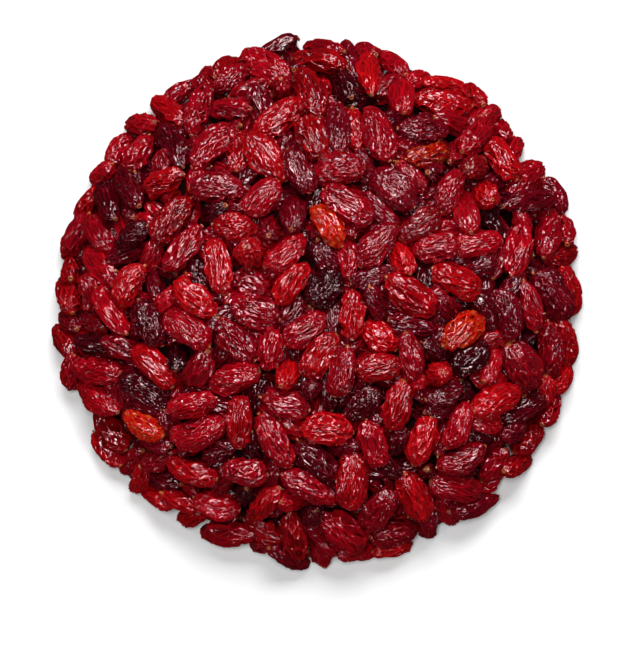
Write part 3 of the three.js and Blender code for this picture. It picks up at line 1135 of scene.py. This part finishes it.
# ---------------------------------------------------------------- build the heap
heap = Heap()
place_seen(heap)
moved, left, dipped = settle(heap)
print("seen", len(heap.pos), "mean shift in plan %.2f mm, deepest bite left %.2f mm, mean dip %.2f" % (moved, left, dipped))
print("gaps", fill_gaps(heap, 600, 1.5, "CCMM"))
print("rim", fill_rim(heap, 600, 2.0, "SCCM"))
print("side", fill(heap, 5000, (0.78, 1.0), (0.0, 1.6), 0.45, 2, "SCCMM"))
print("ground ring", fill(heap, 2500, (0.80, 0.97), (0, 0), 0.55, 2, "SCCMM", ground=True))
print("under", fill(heap, 6000, (0.0, 0.97), (2.2, 4.6), 0.60, 2, "CMM"))
print("deep", fill(heap, 5000, (0.0, 0.93), (4.4, 7.0), 0.75, 3, "CMM"))
print("bottom", fill(heap, 2500, (0.0, 0.80), (0, 0), 0.5, 3, "CMM", ground=True))

kinds = {k: [] for k in FINISH}
for i in range(len(heap.pos)):
    verts, tris, shade = berry_mesh(heap.half[i], heap.skin[i], heap.detail[i], heap.fixed[i])
    axis, out = heap.axis[i], heap.out[i]
    turn = np.stack([axis, np.cross(out, axis), out])
    placed = verts @ turn + heap.pos[i]
    placed[:, 2] = np.maximum(placed[:, 2], 0.0)
    tone = float(np.clip(rng.normal(0.5, 0.24), 0, 1))
    shade = np.concatenate([shade, np.full((len(verts), 1), tone)], 1)
    kinds[heap.tone[i]].append((placed, tris, verts + rng.uniform(10, 400, 3), shade))

pieces = []
for key, (label, light, mid, dark, patch) in FINISH.items():
    finish = berry_finish("skin_" + label, light, mid, dark, patch)
    group, count, part = [], 0, 0
    lots = []
    for m in kinds[key]:
        if count + len(m[1]) > 190000:
            lots.append(group)
            group, count = [], 0
        group.append(m)
        count += len(m[1])
    lots.append(group)
    for part, group in enumerate(lots):
        if not group:
            continue
        ob, n = joined("berries_%s_%d" % (label, part + 1), group)
        ob.data.materials.append(finish)
        print(ob.name, len(group), "berries", n, "triangles")
        pieces.append(ob)
core, n = core_object()
# painted shade: the core's near-black finish, which barely reflects, stands for the shaded depths between the berries
core.data.materials.append(berry_finish("core_painted_shade", (0.030, 0.001, 0.002), (0.018, 0.001, 0.002), (0.010, 0.001, 0.001), (0.040, 0.002, 0.002), rough=(0.8, 0.6), sss=0.0, specular=0.08))
pieces.append(core)
for ob in pieces:
    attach(ob, "root")
    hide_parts("barberry_heap")

# ---------------------------------------------------------------- table, light, camera
def flat_finish(name, colour, rough):
    mat = bpy.data.materials.new(name)
    mat.use_nodes = True
    b = mat.node_tree.nodes["Principled BSDF"]
    b.inputs["Base Color"].default_value = (*colour, 1)
    b.inputs["Roughness"].default_value = rough
    b.inputs["Specular IOR Level"].default_value = 0.2
    return mat


me = bpy.data.meshes.new("table_top")
rim = [(0.62 * math.cos(q * math.pi / 48), 0.62 * math.sin(q * math.pi / 48), 0) for q in range(96)]
me.from_pydata(rim, [], [tuple(range(96))])
floor = bpy.data.objects.new("table_top", me)
me.materials.append(flat_finish("table_pale", (0.82, 0.82, 0.82), 0.9))
bpy.context.scene.collection.objects.link(floor)
floor.visible_glossy = False  # the pale table doesn't veil the lowest berries


def softbox(name, place, size, power, aim=(0, 0, 0.008)):
    lamp = bpy.data.lights.new(name, "AREA")
    lamp.shape = "RECTANGLE"
    lamp.size, lamp.size_y = size
    lamp.energy = power
    ob = bpy.data.objects.new(name, lamp)
    ob.location = place
    ob.rotation_euler = (Vector(aim) - Vector(place)).to_track_quat("-Z", "Y").to_euler()
    bpy.context.scene.collection.objects.link(ob)
    return ob


#        name      from (m)              size (m)      light on the table
for name, place, size, lux in (
    ("key", (0.05, 0.51, 0.69), (0.46, 0.30), 2.45),
    ("over", (-0.07, 0.05, 0.93), (0.25, 0.20), 1.65),
    ("left", (-0.55, -0.32, 0.68), (0.13, 0.13), 0.26),
    ("right", (0.55, -0.32, 0.68), (0.13, 0.13), 0.26),
):
    d = math.dist(place, (0, 0, 0))
    softbox(name, place, size, lux * math.pi * d * d / (place[2] / d))
world = bpy.data.worlds.new("room")
bpy.context.scene.world = world
world.use_nodes = True
wt = world.node_tree
background = wt.nodes["Background"]
background.inputs[0].default_value = (1, 1, 1, 1)
# a dim room to light by and a pale wall behind the table
path = wt.nodes.new("ShaderNodeLightPath")
wt.links.new(ranged(wt, path.outputs["Is Camera Ray"], 0.0, 1.0, 0.02, 0.9), background.inputs[1])

cam = bpy.data.objects.new("camera", bpy.data.cameras.new("camera"))
cam.data.sensor_fit = "AUTO"
cam.data.sensor_width = 36.0
cam.data.lens = 36.0 * (CAM_Z - PX_PLANE) / (FRAME_H * PX)
cam.data.clip_start, cam.data.clip_end = 0.05, 10.0
cam.location = (CAM_X * MM, CAM_Y * MM, CAM_Z * MM)
cam.rotation_euler = (0, 0, 0)
bpy.context.scene.collection.objects.link(cam)
bpy.context.scene.camera = cam
bpy.context.scene.view_settings.view_transform = "Standard"
bpy.context.scene.view_settings.look = "None"

bpy.context.view_layer.update()
